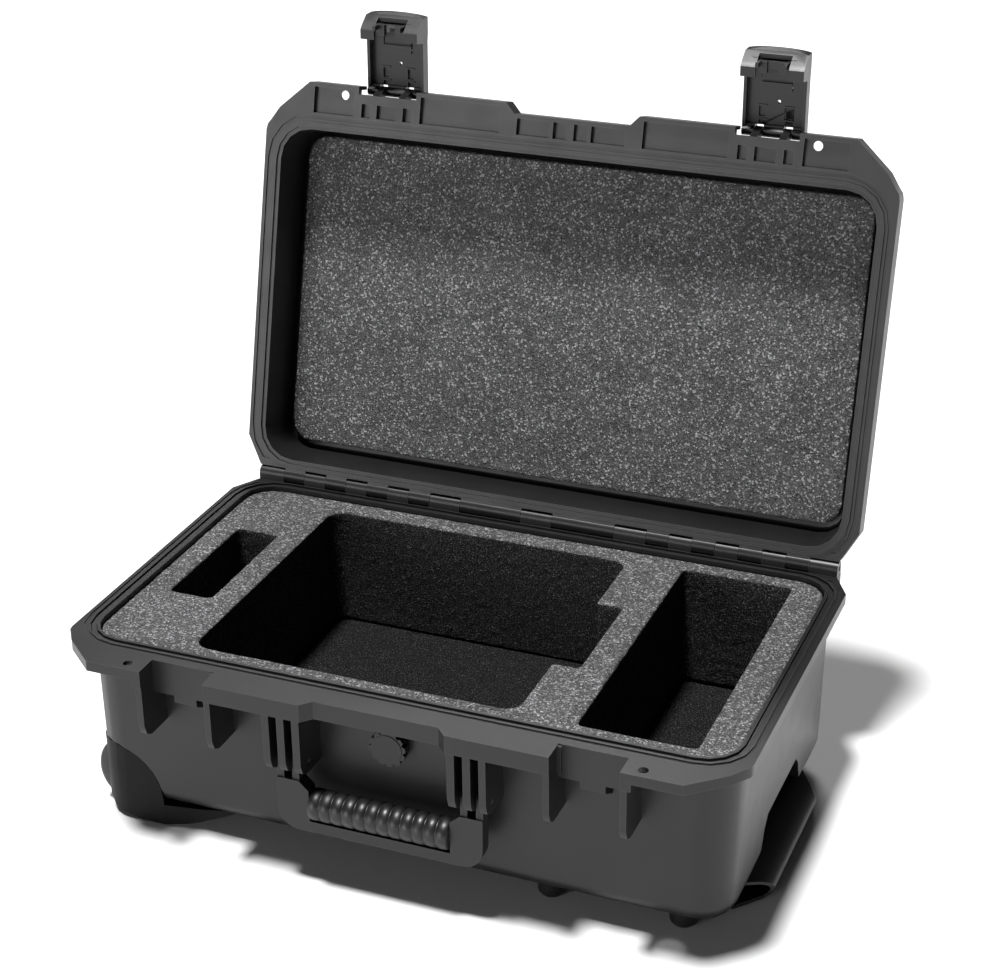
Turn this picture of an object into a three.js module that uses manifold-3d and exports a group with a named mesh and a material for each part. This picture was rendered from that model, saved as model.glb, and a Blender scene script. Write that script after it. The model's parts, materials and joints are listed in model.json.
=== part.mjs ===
// A wheeled hard carrying case, standing open, with its foam inserts. Millimetres, +Z up.
// The origin is on the floor under the middle of the base. +X points to the pull handle, -Y to the latches.
// The lid and everything on it is drawn closed, then its group is turned back to the open rest.

import * as THREE from 'three';
import { mergeVertices } from 'three/addons/utils/BufferGeometryUtils.js';
import Module from 'manifold-3d';

const wasm = await Module();
wasm.setup();

// Gaps
const GAP = 0.3;          // between pieces that touch
const REACH = 6;          // how far a cutting solid runs past what it cuts

// Body of the case
const PARTING = 165;      // height of the face where base and lid meet
const BASE_BOTTOM = 20;
const WALL_X = 265;       // half length of the outer wall at the parting face
const WALL_Y = 149;
const WALL_CORNER = 32;
const INSIDE_X = 260;
const INSIDE_Y = 145;
const INSIDE_CORNER = 27;
const FLOOR = 3.6;        // thickness of the base's floor
const FILLET = 14;
const INSIDE_FILLET = 12;
const BASE_DRAFT = Math.tan(THREE.MathUtils.degToRad(1));
const LID_DRAFT = Math.tan(THREE.MathUtils.degToRad(5));
const LID_TOP = 215;
const LID_ROOF = 4;
const LID_FILLET = 16;
const LID_INSIDE_FILLET = 4;

// Rim flange, the same outline on base and lid
const RIM_X = 275.5;
const RIM_FRONT = 185;
const RIM_STEP = 176.5;   // the middle stretch of the front edge is set back
const RIM_STEP_X = 50;
const RIM_FACE_X = 58;
const RIM_BACK = 153.2;
const RIM_SKIN = 3;
const BASE_RIM_DEPTH = 15;
const BASE_RIM_PLATE = 3.5;
const SHALLOW_RIM_X = 199; // past here the base's rim skirt is shallow
const SHALLOW_RIM_DEPTH = 8.5;
const RIM_CHANNEL = [9, 12.5]; // shallow channel in both rim faces, outside the seal
const RIM_CHANNEL_DEPTH = 1.2;
const RIM_CHANNEL_BACK = 147;
const LID_RIM_DEPTH = 16.5;
const LID_RIM_PLATE = 6.5;
const PADLOCK_X = 205.3;
const PADLOCK_Y = -176.3;
const PADLOCK_RADIUS = 4;

// Seal
const GROOVE_IN = 2.5;    // from the inside wall to the groove
const GROOVE_OUT = 7.5;
const GROOVE_DEPTH = 6;
const SEAL_HEIGHT = 4;
const TONGUE_IN = 3.6;
const TONGUE_OUT = 6.4;
const TONGUE_HEIGHT = 1.6;

// Lid hinge
const HINGE_Y = 160;
const HINGE_Z = 169.7;
const OPEN_ANGLE = 103.3;
const KNUCKLE_RADIUS = 6.5;
const KNUCKLE_GAP = 0.4;
const HINGE_PIN_RADIUS = 2;
const HINGE_BORE = 2.4;
const HINGE_END = 262;
const LID_KNUCKLES = [[14, 70], [98, 118], [138, 158], [178, 198], [218, 238]];
const BASE_KNUCKLES = [[70, 98], [118, 138], [158, 178], [198, 218], [238, HINGE_END]];
const BASE_MIDDLE_KNUCKLE = 14;
const HINGE_SHELF = [150, 162.7]; // heights of the ledge that runs under the knuckles

// Latches
const LATCH_X = 164.5;
const NOTCH_HALF = 26.5;
const BASE_NOTCH_BACK = -165;
const LID_NOTCH_BACK = -178.5;
const LATCH_Y = -182;
const LATCH_Z = 185.3;
const LATCH_OPEN = 77;
const LATCH_HALF = 25.8;
const LATCH_PIN_RADIUS = 1.8;
const LATCH_BORE = 2.2;
const LATCH_BARREL = 4.2;
const LATCH_OUTER = -7.5;
const LATCH_INNER = -4;
const LATCH_TIP = -68;
const LATCH_TIP_SIDE = -65.2; // the tip is an arc, lower at the sides
const LATCH_PLATE_TOP = -4.6;
const HEAD_TOP = -52;
const HEAD_INNER = 15;
const HEAD_LIP = -47.5;
const ARM_NEAR = 9;       // lid arms of the latch hinge, from the latch's middle
const ARM_FAR = 15;
const WINDOW = [-60.5, -35.5]; // along the latch, for the trigger's button
const WINDOW_LIP = [-61, -58.4];
const TRIGGER_HALF = 12.7;
const TRIGGER_Y = -1;
const TRIGGER_Z = -57;
const TRIGGER_BARREL = 3;
const TRIGGER_PIN_RADIUS = 1.5;
const TRIGGER_BORE = 1.9;

// Ribs on the front wall
const RIB_FRONT = 184.5;
const LATCH_RIBS = [[133, 138], [191, 196]];
const POST_RIBS = [[59, 65], [71.5, 77.5], [84, 89.5]];
const RIB_LOW = 104;
const POST_LOW = 98.5;

// Front carrying handle
const HANDLE_Y = -170;
const HANDLE_Z = 107;
const HANDLE_PIN_RADIUS = 2.2;
const HANDLE_BORE = 2.5;
const TINES = [[65.4, 71.1], [77.9, 83.6]];
const HANDLE_OUTER = 83.6;
const HANDLE_INNER = 57.5;
const HANDLE_LOW = 48.3;
const HANDLE_SHOULDER = 92;
const HANDLE_HALF_DEPTH = 6;
const GRIP_Z = 71;
const GRIP_RADIUS = 12.6;
const GRIP_CORE = 6.5;
const GRIP_RIDGES = 9;

// Pressure valve
const VALVE_Z = 124;
const VALVE_STEM = 8;
const VALVE_FLANGE = 13.5;
const VALVE_CAP = 15;
const VALVE_TEETH = 12;

// Wheels and their corner housings
const WHEEL_X = -240;
const WHEEL_RADIUS = 31;
const WHEEL_Y = 116;
const WHEEL_HALF = 14;
const HUB_RADIUS = 20;
const AXLE_RADIUS = 4;
const WELL_X = -248;
const WELL_Z = 22;
const WELL_RADIUS = 46.5;
const WELL_WALL = 3.5;
const WELL_INNER = 92;
const HOUSING_CAVITY = 34;
const HOUSING_CAVITY_HALF = 17.5;
const SKID_LOW = 1.5;

// Recess over the pull handle
const RECESS_X = 244;
const RECESS_TOP = 59;
const RECESS_TOP_HALF = 49;
const RECESS_MIDDLE_HALF = 56;
const RECESS_MIDDLE = 33;
const RECESS_LOW_HALF = 95;
const RECESS_LOW = 27;
const RECESS_WALL = 3.5;

// Pull handle and its channel under the base
const TUBE_Y = 62;
const TUBE_Z = 12;
const SLEEVE_HALF = [10, 7];
const SLEEVE_X = [-192, 236];
const TUBE_HALF = [8.1, 4.7];
const TUBE_X = [-180, 252];
const TUBE_WALL = 1.5;
const PULL_X = [246, 277];
const PULL_LOW = 2;
const PULL_HALF = 92;
const PULL_SKIN = 2.8;
const COVER_X = [-196, 240];
const COVER_HALF = 76;
const COVER_FLOOR = [1.5, 3.5];
const COVER_RIBS = [-150, 0, 150];
const PAD_HALF = [60, 50];

// Feet
const FOOT_X = [116.5, 221.5];
const FOOT_Y = 117;
const FOOT_RADIUS = 11.5;

// Foam
const FOAM_TOP = 162;
const FOAM_SPLIT = 56;
const FOAM_CLEAR = 0.9;
const PAD_BOTTOM = 24.2;
const SMALL_POCKET = { x: [-237, -200], y: [-55, 65], floor: 96 };
const MAIN_POCKET = { x: [-176, 92], y: [-128, 125], radius: 13 };
const MAIN_POCKET_TAB = { x: 114, y: [-53, 49] };
const SIDE_POCKET = { x: [139.5, 231], y: [-130, 130] };
const LID_FOAM = { x: 251, y: [-138, 134], z: [202, 210.6], radius: 18 };

// Finishes
const FINISH = {
  shell: { color: 0x2b2c2e, roughness: 0.5, metalness: 0 },
  housing: { color: 0x1c1d1f, roughness: 0.6, metalness: 0 },
  latch: { color: 0x1f2022, roughness: 0.45, metalness: 0 },
  grip: { color: 0x141416, roughness: 0.55, metalness: 0 },
  foam: { color: 0x3d3d40, roughness: 1, metalness: 0 },
  rubber: { color: 0x0e0e10, roughness: 0.8, metalness: 0 },
  steel: { color: 0xb8babd, roughness: 0.3, metalness: 1 },
  alloy: { color: 0x8d9094, roughness: 0.4, metalness: 1 },
};

// ---- Solids --------------------------------------------------------------------------------------

function solid(geometry) {
  const bare = geometry.clone();
  bare.deleteAttribute('normal');
  bare.deleteAttribute('uv');
  const merged = mergeVertices(bare, 1e-4);
  return new wasm.Manifold(new wasm.Mesh({
    numProp: 3,
    vertProperties: new Float32Array(merged.attributes.position.array),
    triVerts: new Uint32Array(merged.index.array),
  }));
}

// The plane of an outline for each extrusion axis: x -> (y, z), y -> (x, z), z -> (x, y).
const X_AXIS = new THREE.Vector3(1, 0, 0);
const Y_AXIS = new THREE.Vector3(0, 1, 0);
const Z_AXIS = new THREE.Vector3(0, 0, 1);
const PLANES = {
  x: new THREE.Matrix4().makeBasis(Y_AXIS, Z_AXIS, X_AXIS),
  y: new THREE.Matrix4().makeBasis(X_AXIS, Z_AXIS, Y_AXIS.clone().negate()),
  z: new THREE.Matrix4(),
};

function prism(outline, axis, near, far) {
  const from = Math.min(near, far);
  const to = Math.max(near, far);
  const shape = new THREE.Shape(outline.map(([a, b]) => new THREE.Vector2(a, b)));
  const geometry = new THREE.ExtrudeGeometry(shape, { depth: to - from, bevelEnabled: false, steps: 1 });
  geometry.translate(0, 0, axis === 'y' ? -to : from);
  geometry.applyMatrix4(PLANES[axis]);
  return solid(geometry);
}

function box([x0, x1], [y0, y1], [z0, z1]) {
  const geometry = new THREE.BoxGeometry(Math.abs(x1 - x0), Math.abs(y1 - y0), Math.abs(z1 - z0));
  geometry.translate((x0 + x1) / 2, (y0 + y1) / 2, (z0 + z1) / 2);
  return solid(geometry);
}

function arc(a, b, radius, startDegrees, endDegrees, steps) {
  return Array.from({ length: steps + 1 }, (_, i) => {
    const angle = THREE.MathUtils.degToRad(startDegrees + ((endDegrees - startDegrees) * i) / steps);
    return [a + radius * Math.cos(angle), b + radius * Math.sin(angle)];
  });
}

function circle(a, b, radius, sides) {
  return arc(a, b, radius, 0, 360, sides).slice(0, -1);
}

function rod(axis, a, b, radius, near, far, sides = 12) {
  return prism(circle(a, b, radius, sides), axis, near, far);
}

function roundedRect([x0, x1], [y0, y1], radius, steps = 4) {
  return [
    ...arc(x1 - radius, y1 - radius, radius, 0, 90, steps),
    ...arc(x0 + radius, y1 - radius, radius, 90, 180, steps),
    ...arc(x0 + radius, y0 + radius, radius, 180, 270, steps),
    ...arc(x1 - radius, y0 + radius, radius, 270, 360, steps),
  ];
}

// A closed solid through outlines of the same length, listed upwards as [height, outline].
function loft(levels) {
  const count = levels[0][1].length;
  const positions = levels.flatMap(([z, outline]) => outline.flatMap(([x, y]) => [x, y, z]));
  const index = [];
  for (let level = 0; level < levels.length - 1; level += 1) {
    for (let i = 0; i < count; i += 1) {
      const a = level * count + i;
      const b = level * count + ((i + 1) % count);
      index.push(a, b, b + count, a, b + count, a + count);
    }
  }
  const top = (levels.length - 1) * count;
  for (let i = 1; i < count - 1; i += 1) {
    index.push(0, i + 1, i);
    index.push(top, top + i, top + i + 1);
  }
  const geometry = new THREE.BufferGeometry();
  geometry.setAttribute('position', new THREE.Float32BufferAttribute(positions, 3));
  geometry.setIndex(index);
  return solid(geometry);
}

// A round solid about an axis along y, from a closed profile of [radius, y].
function turned(profile, sides) {
  const points = [...profile, profile[0]].map(([radius, y]) => new THREE.Vector2(radius, y));
  return solid(new THREE.LatheGeometry(points, sides));
}

function join(parts) {
  return parts.reduce((whole, part) => whole.add(part));
}

function cut(whole, tools) {
  return tools.reduce((rest, tool) => rest.subtract(tool), whole);
}

function sided(side, [near, far]) {
  return side > 0 ? [near, far] : [-far, -near];
}

const bothSides = (make) => join([-1, 1].map(make));

// ---- Nodes ---------------------------------------------------------------------------------------

// Adds one named mesh, drawn in the case's closed frame, to a group whose origin there is given.
function addPiece(group, name, shape, finish, origin = [0, 0, 0]) {
  const { vertProperties, triVerts } = shape.getMesh();
  const geometry = new THREE.BufferGeometry();
  geometry.setAttribute('position', new THREE.Float32BufferAttribute(vertProperties, 3));
  geometry.setIndex(Array.from(triVerts));
  geometry.translate(-origin[0], -origin[1], -origin[2]);
  const mesh = new THREE.Mesh(geometry, new THREE.MeshStandardMaterial({ ...FINISH[finish], flatShading: true }));
  mesh.name = name;
  group.add(mesh);
}

// ---- Case outlines -------------------------------------------------------------------------------

function rimOutline(inset) {
  const front = -RIM_FRONT + inset;
  const step = -RIM_STEP + inset;
  const side = RIM_X - inset;
  const back = RIM_BACK - inset;
  const half = [
    [RIM_STEP_X, step],
    [RIM_FACE_X, front],
    [237, front],
    [264 - inset * 0.7, -161 + inset * 0.7],
    ...arc(side - 12, -141, 12, -50, 0, 2),
    [side, 128],
    [262 - inset * 0.6, back],
  ];
  return [...half, ...half.map(([x, y]) => [-x, y]).reverse()];
}

function wallOutline(halfX, halfY, radius, inset) {
  return roundedRect([-halfX + inset, halfX - inset], [-halfY + inset, halfY - inset], radius - inset, 4);
}

// A tapered tub with a rounded bottom edge. Heights run from the closed end towards the mouth.
function tub(halfX, halfY, radius, closedEnd, mouth, fillet, draft, taperFrom = mouth) {
  const toMouth = Math.sign(mouth - closedEnd);
  const turns = [0, 22.5, 45, 67.5, 90].map(THREE.MathUtils.degToRad);
  const levels = turns.map((turn) => {
    const z = closedEnd + toMouth * fillet * (1 - Math.cos(turn));
    const inset = fillet * (1 - Math.sin(turn)) + Math.abs(taperFrom - z) * draft;
    return [z, wallOutline(halfX, halfY, radius, inset)];
  });
  levels.push([mouth, wallOutline(halfX, halfY, radius, (taperFrom - mouth) * toMouth * draft)]);
  return loft(toMouth > 0 ? levels : levels.reverse());
}

function ring(inner, outer, zRange) {
  const outline = (out) => wallOutline(INSIDE_X, INSIDE_Y, INSIDE_CORNER, -out);
  return prism(outline(outer), 'z', ...zRange)
    .subtract(prism(outline(inner), 'z', zRange[0] - 1, zRange[1] + 1));
}

// A shallow channel round a rim face, open at the hinge side.
function rimChannel(zRange) {
  const front = box([-RIM_X, RIM_X], [-RIM_FRONT, RIM_CHANNEL_BACK], [zRange[0] - 1, zRange[1] + 1]);
  return ring(...RIM_CHANNEL, zRange).intersect(front);
}

function wheelWells(radius, innerY) {
  return bothSides((side) => rod('y', WELL_X, WELL_Z, radius, side * innerY, side * (WALL_Y + REACH * 2), 32));
}

function handleRecess(grow, depth) {
  const half = [
    [RECESS_LOW_HALF + grow, BASE_BOTTOM - REACH],
    [RECESS_LOW_HALF + grow, RECESS_LOW + grow],
    [RECESS_MIDDLE_HALF + grow, RECESS_MIDDLE + grow],
    [RECESS_TOP_HALF + grow, RECESS_TOP + grow - 8],
    [RECESS_TOP_HALF - 8 + grow, RECESS_TOP + grow],
  ];
  const outline = [...half, ...half.map(([y, z]) => [-y, z]).reverse()];
  return prism(outline, 'x', depth, WALL_X + REACH);
}

// ---- Base ----------------------------------------------------------------------------------------

function frontRib([x0, x1], side, low) {
  const outline = [
    [-146, PARTING - 3],
    [-RIB_FRONT, PARTING - 3],
    [-RIB_FRONT + 1, low + 12],
    [-RIB_FRONT + 4, low + 4],
    [-RIB_FRONT + 11, low],
    [-146, low],
  ];
  return prism(outline, 'x', ...sided(side, [x0, x1]));
}

function catchPlate(side) {
  const middle = side * LATCH_X;
  const across = (near, far) => [middle + near, middle + far];
  const notch = NOTCH_HALF + 1;
  const ledge = [[-146, 120], [-162, 129], [BASE_NOTCH_BACK, 131], [BASE_NOTCH_BACK, 138], [-146, 138]];
  return join([
    box(across(-notch, notch), [BASE_NOTCH_BACK, -161.5], [137, PARTING - 2]),
    box(across(-notch, notch), [BASE_NOTCH_BACK, -146], [PARTING - 6, PARTING - 2.4]),
    box(across(-22, -9.5), [-163.5, -152], [PARTING - 4, PARTING]),
    box(across(9.5, 22), [-163.5, -152], [PARTING - 4, PARTING]),
    prism(ledge, 'x', middle - 9.5, middle + 9.5),
    box([middle - side * notch, middle - side * 23.5], [BASE_NOTCH_BACK - 2.5, -163], [141, PARTING - 1]),
  ]);
}

function baseKnuckle(from, to) {
  const web = [
    [148, 142],
    [153.5, 148],
    [HINGE_Y + KNUCKLE_RADIUS, 158],
    [HINGE_Y + KNUCKLE_RADIUS, HINGE_Z],
    [HINGE_Y - KNUCKLE_RADIUS, HINGE_Z],
    [HINGE_Y - KNUCKLE_RADIUS, PARTING - 1.5],
    [148, PARTING - 1.5],
  ];
  const ends = [from + KNUCKLE_GAP / 2, to - KNUCKLE_GAP / 2];
  return rod('x', HINGE_Y, HINGE_Z, KNUCKLE_RADIUS, ...ends, 14).add(prism(web, 'x', ...ends));
}

function baseRim() {
  const low = PARTING - BASE_RIM_DEPTH;
  const hollow = prism(rimOutline(RIM_SKIN), 'z', low - 1, PARTING - BASE_RIM_PLATE);
  const plate = prism(rimOutline(0), 'z', low, PARTING).subtract(hollow);
  const notches = [-1, 1].map((side) => box(
    sided(side, [LATCH_X - NOTCH_HALF, LATCH_X + NOTCH_HALF]),
    [-RIM_FRONT - REACH, BASE_NOTCH_BACK],
    [low - 1, PARTING + 1],
  ));
  const underEnds = bothSides((side) => box(
    sided(side, [SHALLOW_RIM_X, RIM_X + 1]),
    [-RIM_FRONT - 1, RIM_BACK + 1],
    [low - 1, PARTING - SHALLOW_RIM_DEPTH],
  ));
  const bed = prism(wallOutline(INSIDE_X, INSIDE_Y, INSIDE_CORNER, -10.5), 'z', PARTING - 10, PARTING);
  return cut(plate, [...notches, underEnds]).add(bed.intersect(prism(rimOutline(0), 'z', low, PARTING)));
}

function baseShell() {
  const outer = tub(WALL_X, WALL_Y, WALL_CORNER, BASE_BOTTOM, PARTING - 1, FILLET, BASE_DRAFT, PARTING);
  const hollow = tub(
    INSIDE_X, INSIDE_Y, INSIDE_CORNER, BASE_BOTTOM + FLOOR, PARTING + 1, INSIDE_FILLET, BASE_DRAFT, PARTING,
  );
  const room = cut(hollow, [
    wheelWells(WELL_RADIUS + WELL_WALL, WELL_INNER - WELL_WALL),
    handleRecess(RECESS_WALL, RECESS_X - RECESS_WALL),
  ]);
  const ribs = bothSides((side) => join([
    ...LATCH_RIBS.map((span) => frontRib(span, side, RIB_LOW)),
    ...POST_RIBS.map((span) => frontRib(span, side, POST_LOW)),
    catchPlate(side),
  ]));
  const knuckles = join([
    baseKnuckle(-BASE_MIDDLE_KNUCKLE, BASE_MIDDLE_KNUCKLE),
    box([-HINGE_END, HINGE_END], [INSIDE_Y + 5, HINGE_Y + KNUCKLE_RADIUS], HINGE_SHELF),
    bothSides((side) => join(BASE_KNUCKLES.map((span) => baseKnuckle(...sided(side, span))))),
  ]);
  return cut(join([outer, baseRim(), ribs, knuckles]), [
    room,
    wheelWells(WELL_RADIUS, WELL_INNER),
    handleRecess(0, RECESS_X),
    ring(GROOVE_IN, GROOVE_OUT, [PARTING - GROOVE_DEPTH, PARTING + 1]),
    rimChannel([PARTING - RIM_CHANNEL_DEPTH, PARTING + 1]),
    rod('x', HINGE_Y, HINGE_Z, HINGE_BORE, -HINGE_END - 1, HINGE_END + 1, 8),
    rod('y', 0, VALVE_Z, VALVE_STEM + GAP, -WALL_Y - 2, -INSIDE_Y + 3, 20),
    bothSides((side) => rod('x', HANDLE_Y, HANDLE_Z, HANDLE_BORE, ...sided(side, [57, 92]), 12)),
    bothSides((side) => rod('z', side * PADLOCK_X, PADLOCK_Y, PADLOCK_RADIUS, PARTING - 20, PARTING + 1, 16)),
  ]);
}

function wheelHousing(side) {
  const low = BASE_BOTTOM - GAP;
  const radius = WELL_RADIUS - GAP;
  const outline = [
    [WELL_X + radius, low],
    ...arc(WELL_X, WELL_Z, radius, 4, 118, 10),
    [-270, 30],
    [-261.5, 24],
    [-257.5, 15],
    [-249, 7.5],
    [-237, 3.2],
    [-222, SKID_LOW],
    [-200, SKID_LOW],
    [-182, 4.5],
    [-160, 12],
    [-139, low],
  ];
  const corner = prism(roundedRect([-263.6, 0], [-147.2, 147.2], 30, 6), 'z', 0, 80);
  const block = prism(outline, 'y', side * 147.3, side * (WELL_INNER + GAP)).intersect(corner);
  const cavity = [side * (WHEEL_Y - HOUSING_CAVITY_HALF), side * (WHEEL_Y + HOUSING_CAVITY_HALF)];
  const mouth = box([-280, WHEEL_X], cavity, [-1, WHEEL_RADIUS + HOUSING_CAVITY - 4]);
  const skidTaper = [[-215, WALL_Y], [-172, WALL_Y - FILLET / 2], [-130, WALL_Y - FILLET - 4], [-130, WALL_Y]];
  return cut(block, [
    rod('y', WHEEL_X, WHEEL_RADIUS, HOUSING_CAVITY, ...cavity, 24),
    mouth,
    rod('y', WHEEL_X, WHEEL_RADIUS, AXLE_RADIUS + GAP, side * 80, side * 145, 16),
    prism(skidTaper.map(([x, y]) => [x, side * y]), 'z', -1, low + 1),
  ]);
}

function trolleyCover() {
  const [x0, x1] = COVER_X;
  const [floorLow, floorTop] = COVER_FLOOR;
  const top = BASE_BOTTOM - GAP;
  const wall = 3;
  const tray = box([x0, x1], [-COVER_HALF, COVER_HALF], [floorLow, top])
    .subtract(box([x0 + wall, x1 + 1], [-COVER_HALF + wall, COVER_HALF - wall], [floorTop, top + 1]));
  const ribs = COVER_RIBS.map((x) => box(
    [x - 3, x + 3],
    [-COVER_HALF + 1, COVER_HALF - 1],
    [floorTop - 1, TUBE_Z - SLEEVE_HALF[1] - GAP],
  ));
  const pad = box([-PAD_HALF[0], PAD_HALF[0]], [-PAD_HALF[1], PAD_HALF[1]], [0, floorTop - 1]);
  return join([tray, pad, ...ribs]);
}

function squareTube([x0, x1], y, [halfY, halfZ], wall) {
  return box([x0, x1], [y - halfY, y + halfY], [TUBE_Z - halfZ, TUBE_Z + halfZ]).subtract(box(
    [x0 - 1, x1 + 1],
    [y - halfY + wall, y + halfY - wall],
    [TUBE_Z - halfZ + wall, TUBE_Z + halfZ - wall],
  ));
}

function foot(x, y) {
  const top = BASE_BOTTOM - GAP;
  const outline = (radius) => circle(x, y, radius, 16);
  return loft([[0, outline(FOOT_RADIUS - 3)], [3, outline(FOOT_RADIUS - 0.8)], [top, outline(FOOT_RADIUS)]]);
}

function valveBody() {
  const stem = rod('y', 0, VALVE_Z, VALVE_STEM, -150, -INSIDE_Y + 0.6, 20);
  return stem.add(rod('y', 0, VALVE_Z, VALVE_FLANGE, -151.4, -149, 24));
}

function valveCap() {
  const steps = VALVE_TEETH * 4;
  const outline = Array.from({ length: steps }, (_, i) => {
    const angle = (i / steps) * Math.PI * 2;
    const radius = VALVE_CAP - (i % 4 < 3 ? 0 : 2.4);
    return [radius * Math.cos(angle), VALVE_Z + radius * Math.sin(angle)];
  });
  return prism(outline, 'y', -157.5, -151.4 - GAP).add(rod('y', 0, VALVE_Z, VALVE_CAP - 3, -158.2, -157, 24));
}

// ---- Foam ----------------------------------------------------------------------------------------

function foamTub(low, high, fillet) {
  const inset = (z) => FOAM_CLEAR + (PARTING - z) * BASE_DRAFT;
  const outline = (z, extra) => wallOutline(INSIDE_X, INSIDE_Y, INSIDE_CORNER, inset(z) + extra);
  const steps = fillet > 0 ? [0, 30, 60, 90].map(THREE.MathUtils.degToRad) : [Math.PI / 2];
  const edge = steps.map((turn) => {
    const z = low + fillet * (1 - Math.cos(turn));
    return [z, outline(z, fillet * (1 - Math.sin(turn)))];
  });
  return cut(loft([...edge, [high, outline(high, 0)]]), [
    wheelWells(WELL_RADIUS + WELL_WALL + FOAM_CLEAR, WELL_INNER - WELL_WALL - FOAM_CLEAR),
    handleRecess(RECESS_WALL + FOAM_CLEAR, RECESS_X - RECESS_WALL - FOAM_CLEAR),
  ]);
}

function foamInsert() {
  const top = FOAM_TOP + 1;
  const below = FOAM_SPLIT - 1;
  const tab = [[MAIN_POCKET.x[1] - 20, MAIN_POCKET_TAB.x], MAIN_POCKET_TAB.y];
  return cut(foamTub(FOAM_SPLIT, FOAM_TOP, 0), [
    prism(roundedRect(MAIN_POCKET.x, MAIN_POCKET.y, MAIN_POCKET.radius), 'z', below, top),
    prism(roundedRect(...tab, 3, 2), 'z', below, top),
    box(SIDE_POCKET.x, SIDE_POCKET.y, [below, top]),
    box(SMALL_POCKET.x, SMALL_POCKET.y, [SMALL_POCKET.floor, top]),
  ]);
}

function lidFoam() {
  return prism(roundedRect([-LID_FOAM.x, LID_FOAM.x], LID_FOAM.y, LID_FOAM.radius, 5), 'z', ...LID_FOAM.z);
}

// ---- Lid, drawn closed ---------------------------------------------------------------------------

const LID_FACE = PARTING + GAP;

function lidKnuckle(from, to) {
  const web = [
    [148, LID_FACE + 1],
    [HINGE_Y - KNUCKLE_RADIUS + 1.5, LID_FACE],
    [HINGE_Y, HINGE_Z - 3],
    [HINGE_Y, HINGE_Z + KNUCKLE_RADIUS],
    [148, HINGE_Z + KNUCKLE_RADIUS + 3],
  ];
  const ends = [from + KNUCKLE_GAP / 2, to - KNUCKLE_GAP / 2];
  return rod('x', HINGE_Y, HINGE_Z, KNUCKLE_RADIUS, ...ends, 14).add(prism(web, 'x', ...ends));
}

function latchArm(side, near, far) {
  const outline = [
    [-160, LID_FACE],
    [-175, LID_FACE],
    [-178, 168],
    [-182, 175],
    [LATCH_Y - LATCH_BARREL, LATCH_Z],
    [LATCH_Y + LATCH_BARREL, LATCH_Z],
    [LID_NOTCH_BACK, 182],
    [-160, 172],
  ];
  const ends = [side * LATCH_X + near, side * LATCH_X + far];
  return rod('x', LATCH_Y, LATCH_Z, LATCH_BARREL, ...ends).add(prism(outline, 'x', ...ends));
}

function lidRim() {
  const high = LID_FACE + LID_RIM_DEPTH;
  const hollow = prism(rimOutline(RIM_SKIN), 'z', LID_FACE + LID_RIM_PLATE, high + 1);
  const plate = prism(rimOutline(0), 'z', LID_FACE, high).subtract(hollow);
  const pocket = (xRange, yRange) => box(xRange, yRange, [LID_FACE - 1, LID_FACE + 4]);
  const tools = [-1, 1].flatMap((side) => [
    box(
      sided(side, [LATCH_X - NOTCH_HALF, LATCH_X + NOTCH_HALF]),
      [-RIM_FRONT - REACH, LID_NOTCH_BACK],
      [LID_FACE - 1, high + 1],
    ),
    pocket(sided(side, [62, 134]), [-181.5, -159.5]),
    pocket(sided(side, [195, 232]), [-181.5, -159.5]),
    pocket(sided(side, [LATCH_X - 23, LATCH_X - ARM_FAR]), [-171, -159.5]),
    pocket(sided(side, [LATCH_X - ARM_NEAR, LATCH_X + ARM_NEAR]), [-171, -159.5]),
    pocket(sided(side, [LATCH_X + ARM_FAR, LATCH_X + 23]), [-171, -159.5]),
    pocket(sided(side, [3, 15]), [-173, -159.5]),
    pocket(sided(side, [18, 47]), [-173, -159.5]),
  ]);
  return cut(plate, tools);
}

function lidShell() {
  const outer = tub(WALL_X, WALL_Y, WALL_CORNER, LID_TOP, LID_FACE + 1, LID_FILLET, LID_DRAFT / 2, LID_FACE);
  const hollow = tub(
    INSIDE_X, INSIDE_Y, INSIDE_CORNER, LID_TOP - LID_ROOF, LID_FACE - 1, LID_INSIDE_FILLET, LID_DRAFT, LID_FACE,
  );
  const arms = bothSides((side) => join([
    latchArm(side, -ARM_FAR, -ARM_NEAR),
    latchArm(side, ARM_NEAR, ARM_FAR),
  ]));
  const knuckles = bothSides((side) => join(LID_KNUCKLES.map((span) => lidKnuckle(...sided(side, span)))));
  const panel = loft([
    [LID_TOP - 1, roundedRect([-215, 215], [-100, 100], 20)],
    [LID_TOP + 3, roundedRect([-211, 211], [-96, 96], 16)],
  ]);
  const bores = [
    rod('x', HINGE_Y, HINGE_Z, HINGE_BORE, -HINGE_END - 1, HINGE_END + 1, 8),
    bothSides((side) => rod('x', LATCH_Y, LATCH_Z, LATCH_BORE, ...sided(side, [135, 194]), 8)),
    bothSides((side) => rod('z', side * PADLOCK_X, PADLOCK_Y, PADLOCK_RADIUS, 160, 190, 16)),
    rimChannel([LID_FACE - 1, LID_FACE + RIM_CHANNEL_DEPTH]),
  ];
  const tongue = ring(TONGUE_IN, TONGUE_OUT, [LID_FACE - TONGUE_HEIGHT, LID_FACE + 1]);
  return cut(join([outer, lidRim(), arms, knuckles, panel]), [hollow, ...bores]).add(tongue);
}

// ---- Latch, drawn closed, its own origin on its hinge --------------------------------------------

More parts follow.
